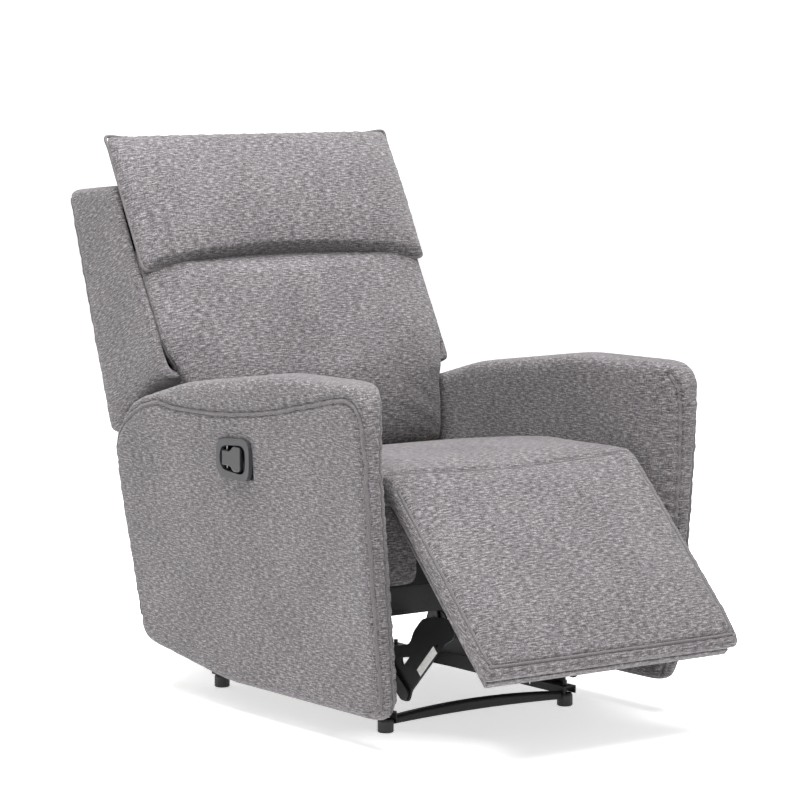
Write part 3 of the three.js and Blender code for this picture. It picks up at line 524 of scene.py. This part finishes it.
front_seam = [
    (x, FEET_Y - 0.118 + 0.013 * (x / 0.28) ** 2, 0.50) for x in (-0.277, -0.2, -0.1, 0, 0.1, 0.2, 0.277)
]
front_seam = onto(seat, line_through(front_seam))
press_seam(seat, front_seam, 9 * MM, 4 * MM)


def on_footrest(x, down, out=0.0):
    """A point on the footrest's top, this far across and down from its upper edge."""
    return FOOT_TOP + FOOT_DOWN * down + FOOT_OUT * out + Vector((x, 0, 0))


EDGE_IN = 0.270
LOWEST = FOOT_LONG - 22 * MM
border = [on_footrest(-EDGE_IN, d) for d in (0.02, 0.12, 0.24, LOWEST - 0.03)]
border += [on_footrest(-EDGE_IN + 6 * MM, LOWEST - 6 * MM), on_footrest(-EDGE_IN + 0.03, LOWEST)]
border += [on_footrest(0, LOWEST)]
border += [Vector((-p.x, p.y, p.z)) for p in reversed(border[:-1])]
border = onto(seat, line_through(border))
pucker(seat, border, 40 * MM, 1.2 * MM, 34 * MM)
press_seam(seat, border, 9 * MM, 3.5 * MM)
upholster(seat, None, ["seat_cushion", "footrest_cushion"], turn=math.radians(-22))
BEND = (FOOT_HINGE + Vector((0, 26 * MM, 0)), FOOT_HINGE + FOOT_DOWN * 26 * MM)
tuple(BEND[0])
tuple(BEND[1])
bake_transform(seat)
cord = cord_along("seat_front_seam", onto(seat, front_seam, -0.4 * MM), 1.6 * MM)
upholster(cord, None)
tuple(BEND[0])
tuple(BEND[1])
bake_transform(cord)
cord = cord_along("footrest_piping", onto(seat, border, 0.6 * MM), 2.8 * MM)
upholster(cord, "footrest")


# Footrest board: ply under the footrest's foam, wrapped in the same tweed and stapled beneath.
form = foam_of("footrest_board")
bmesh.ops.dissolve_limit(form, angle_limit=math.radians(3), verts=form.verts, edges=form.edges)
rims = [e for e in form.edges if e.calc_face_angle(0) > math.radians(60)]
bmesh.ops.bevel(form, geom=rims, offset=4 * MM, segments=3, profile=0.5, affect="EDGES", material=-1)
board = new_piece("footrest_board_cover", form)
upholster(board, "footrest", ["footrest_board"], turn=math.radians(-45))


# Back shell: the padded outside of the back, a deep frame covered in tweed, with a piped seam round the sides
# and top of its rear panel.
form = foam_of("back_shell")
shell = skin_over("back_shell_cover", form, 7 * MM, 8)
refined(shell)
rear_edge = [(0.313, 0.700, 0.440), (0.322, 0.739, 0.560), (0.330, 0.790, 0.720), (0.330, 0.846, 0.888),
             (0.318, 0.853, 0.905), (0.200, 0.856, 0.915), (0.0, 0.857, 0.918)]
rear_edge = [(x, y + FEET_Y, z) for x, y, z in rear_edge]
rear_edge += [(-x, y, z) for x, y, z in reversed(rear_edge[:-1])]
rear_edge = onto(shell, line_through(rear_edge))
pucker(shell, rear_edge, 40 * MM, 1.2 * MM, 45 * MM)
press_seam(shell, rear_edge, 9 * MM, 3 * MM)
upholster(shell, "backrest", ["back_shell"], turn=math.radians(20))
cord = cord_along("back_shell_piping", onto(shell, rear_edge, 0.6 * MM), 3 * MM)
upholster(cord, "backrest")


# Back cushion: a fixed cushion, fullest at the small of the back, its sides rounded back to a piped edge on
# the shell. Its lower half is cut narrower to drop between the arms.
LEAN = math.radians(28.4)
CUSHION_WIDE = (0.286, 0.317)  # half its width between the arms and above them
CUSHION_SIDE = [
    (0.665, 0.820), (0.606, 0.812), (0.584, 0.790), (0.560, 0.752), (0.513, 0.672), (0.470, 0.590),
    (0.447, 0.520), (0.442, 0.470), (0.450, 0.440), (0.470, 0.432), (0.530, 0.434), (0.530, 0.580),
]
CUSHION_EDGE = [(0.628, 0.790), (0.579, 0.705), (0.520, 0.600)]
form = bmesh.new()
outline = [form.verts.new((-CUSHION_WIDE[1], y + FEET_Y, z)) for y, z in CUSHION_SIDE]
side_face = form.faces.new(outline)
across = bmesh.ops.extrude_face_region(form, geom=[side_face])
far_side = [g for g in across["geom"] if isinstance(g, bmesh.types.BMVert)]
bmesh.ops.translate(form, verts=far_side, vec=(2 * CUSHION_WIDE[1], 0, 0))
bmesh.ops.recalc_face_normals(form, faces=form.faces)
cushion = skin_over("back_cushion_cover", form, 6 * MM, 6)
refined(stuffed(cushion, 8 * MM, lambda v: abs(v.normal.x) > 0.35 or v.normal.y > 0.3 or v.normal.z < -0.8))


def shell_front(z):
    """How far back the shell's front lies at this height."""
    return FEET_Y + 0.505 + max(0.0, z - 0.580) * math.tan(LEAN)


for vertex in cushion.data.vertices:
    rise = min(1.0, max(0.0, (vertex.co.z - 0.54) / 0.13))
    wide = CUSHION_WIDE[0] + (CUSHION_WIDE[1] - CUSHION_WIDE[0]) * rise * rise * (3 - 2 * rise)
    ends = min(1.0, abs(vertex.co.x) / CUSHION_WIDE[1])
    vertex.co.x *= wide / CUSHION_WIDE[1]
    back = shell_front(vertex.co.z)
    fall = 1 - 0.62 * ends**6 - 0.06 * ends**2
    if vertex.co.y < back:
        vertex.co.y = back + (vertex.co.y - back) * fall
for side, out in (("right", -1), ("left", 1)):
    edge = [(out * CUSHION_WIDE[1], y + FEET_Y, z) for y, z in CUSHION_EDGE]
    edge = onto(cushion, line_through(edge))
    pucker(cushion, edge, 40 * MM, 1.2 * MM, 36 * MM)
    press_seam(cushion, edge, 9 * MM, 3 * MM)
    cord = cord_along(f"back_cushion_piping_{side}", onto(cushion, edge, 0.6 * MM), 2.8 * MM)
    upholster(cord, "backrest")
upholster(cushion, "backrest", ["back_cushion"], turn=LEAN)


# Headrest pillow: a wide pillow sewn from two panels and piped all round, fixed to the shell so that its lower
# edge lies on the back cushion and bows up in the middle.
PILLOW_HALF = 0.3235
PILLOW_LOW = Vector((0, FEET_Y + 0.5952, 0.781))
PILLOW_UP = Vector((0, math.sin(LEAN), math.cos(LEAN)))
PILLOW_OUT = Vector((0, -math.cos(LEAN), math.sin(LEAN)))
PILLOW_TALL = 0.281
PILLOW_BOW = 26 * MM
form = foam_of("headrest_pillow")
pillow = skin_over("headrest_pillow_cover", form, 6 * MM, 7)
refined(stuffed(pillow, 8 * MM, lambda v: abs(v.normal.x) > 0.35 or abs(v.normal.dot(PILLOW_UP)) > 0.6))
for vertex in pillow.data.vertices:
    thick = (vertex.co - PILLOW_LOW).dot(PILLOW_OUT)
    ends = min(1.0, abs(vertex.co.x) / PILLOW_HALF)
    keep = math.sqrt(max(0.0, 1 - ends**7))
    vertex.co -= PILLOW_OUT * (thick * (1 - keep))
    up = (vertex.co - PILLOW_LOW).dot(PILLOW_UP) / PILLOW_TALL
    bow = PILLOW_BOW * (1 - ends**2) * max(0.0, 1 - 1.4 * max(up, 0)) ** 2
    vertex.co += PILLOW_UP * bow


def on_pillow(x, up, out=0.0):
    """A point on the seam between the pillow's two panels."""
    bow = PILLOW_BOW * (1 - (x / PILLOW_HALF) ** 2) * max(0.0, 1 - 1.4 * max(up, 0)) ** 2
    return PILLOW_LOW + PILLOW_UP * (PILLOW_TALL * up + bow) + PILLOW_OUT * out + Vector((x, 0, 0))


rim = [on_pillow(x, 0) for x in (0, 0.1, 0.2, 0.29)] + [on_pillow(0.319, 0.02), on_pillow(0.322, 0.10)]
rim += [on_pillow(0.322, u) for u in (0.3, 0.5, 0.7, 0.9)] + [on_pillow(0.323, 0.985), on_pillow(0.31, 1.0)]
rim += [on_pillow(x, 0.985) for x in (0.27, 0.2, 0.1)] + [on_pillow(0, 0.98)]
rim += [Vector((-p.x, p.y, p.z)) for p in reversed(rim[1:-1])]
rim = line_through(rim, closed=True)
pucker(pillow, rim, 45 * MM, 1.5 * MM, 33 * MM)
upholster(pillow, "backrest", ["headrest_pillow"], turn=LEAN)
cord = cord_along("pillow_piping", rim, 3.2 * MM, closed=True)
upholster(cord, "backrest")


# Release handle: a moulded bezel let into the right arm with a T-shaped pull in it, in matt charcoal ABS with
# a fine spark-eroded grain.
charcoal, shader = new_material("moulded_charcoal_abs", Roughness=0.5, IOR=1.54)
two_tone(charcoal, shader, "#1F1E21", "#28272A", 0.7 * MM, 0.5)
finish_nodes(charcoal, ["release_bezel"])
pull, shader = new_material("moulded_black_abs", Roughness=0.42, IOR=1.54)
two_tone(pull, shader, "#151517", "#1C1C1F", 0.7 * MM, 0.4)
finish_nodes(pull, ["release_paddle", "release_cable"])


# Blank label: a matt white vinyl sticker on the outside of the right front link, with nothing printed on it.
LINK_TOP = Vector((0, FEET_Y - 0.168, 0.205))
LINK_FOOT = Vector((0, FEET_Y - 0.040, 0.075))
LABEL = (0.4 * MM, 68 * MM, 15 * MM)
vinyl, shader = new_material("white_vinyl_label", Roughness=0.55, IOR=1.5)
two_tone(vinyl, shader, "#C9C9C6", "#DDDDDA", 5 * MM, 0.1)
along = LINK_FOOT - LINK_TOP
middle = (LINK_TOP + LINK_FOOT) / 2 + Vector((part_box("front_link_right")[0].x - LABEL[0] / 2, 0, 0))
form = bmesh.new()
bmesh.ops.create_cube(form, size=1)
bmesh.ops.scale(form, verts=form.verts, vec=LABEL)
tilt = Matrix.Translation(middle) @ Matrix.Rotation(math.atan2(along.z, along.y), 4, "X")
bmesh.ops.transform(form, verts=form.verts, matrix=tilt)
bmesh.ops.bevel(
    form, geom=form.edges[:], offset=0.1 * MM, segments=1, profile=0.5, affect="EDGES", material=-1
)
label = new_piece("blank_label", form, vinyl)
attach(label, "front_links")


# Room: a plain white floor and a round white wall, both faintly lit from within so that they stay even, with
# one wide soft lamp overhead and one view of the chair from its front right corner.
form = bmesh.new()
bmesh.ops.create_grid(form, x_segments=1, y_segments=1, size=30)
floor = new_piece("floor", form)
paper, shader = new_material(
    "white_paper",
    Base_Color=srgb("#FFFFFF"),
    Roughness=1.0,
    Emission_Color=srgb("#FFFFFF"),
    Emission_Strength=0.6,
)
floor.data.materials[0] = paper
form = bmesh.new()
bmesh.ops.create_cone(form, cap_ends=False, segments=64, radius1=29, radius2=29, depth=16)
bmesh.ops.reverse_faces(form, faces=form.faces)
wall = new_piece("studio_wall", form, paper)
world = bpy.data.worlds.new("studio")
bpy.context.scene.world = world
world.use_nodes = True
world.node_tree.nodes["Background"].inputs["Color"].default_value = (1, 1, 1, 1)
world.node_tree.nodes["Background"].inputs["Strength"].default_value = 0.3


def lamp(name, place, target, size, power):
    """A square soft box that faces the target."""
    light = bpy.data.lights.new(name, "AREA")
    light.size = size
    light.energy = power
    holder = bpy.data.objects.new(name, light)
    bpy.context.scene.collection.objects.link(holder)
    holder.location = place
    holder.rotation_euler = (Vector(target) - Vector(place)).to_track_quat("-Z", "Y").to_euler()


lamp("overhead", (-0.6, -0.6, 3.8), (0, 0, 0.4), 3.0, 480)
camera = bpy.data.objects.new("camera", bpy.data.cameras.new("camera"))
bpy.context.scene.collection.objects.link(camera)
camera.data.lens = 153.6
camera.data.sensor_width = 36
camera.location = (-3.6756, -5.00384, 1.2239)
camera.rotation_euler = (math.radians(90 - 6.16), 0, -math.radians(36.2991))
bpy.context.scene.camera = camera
bpy.context.scene.view_settings.view_transform = "Standard"
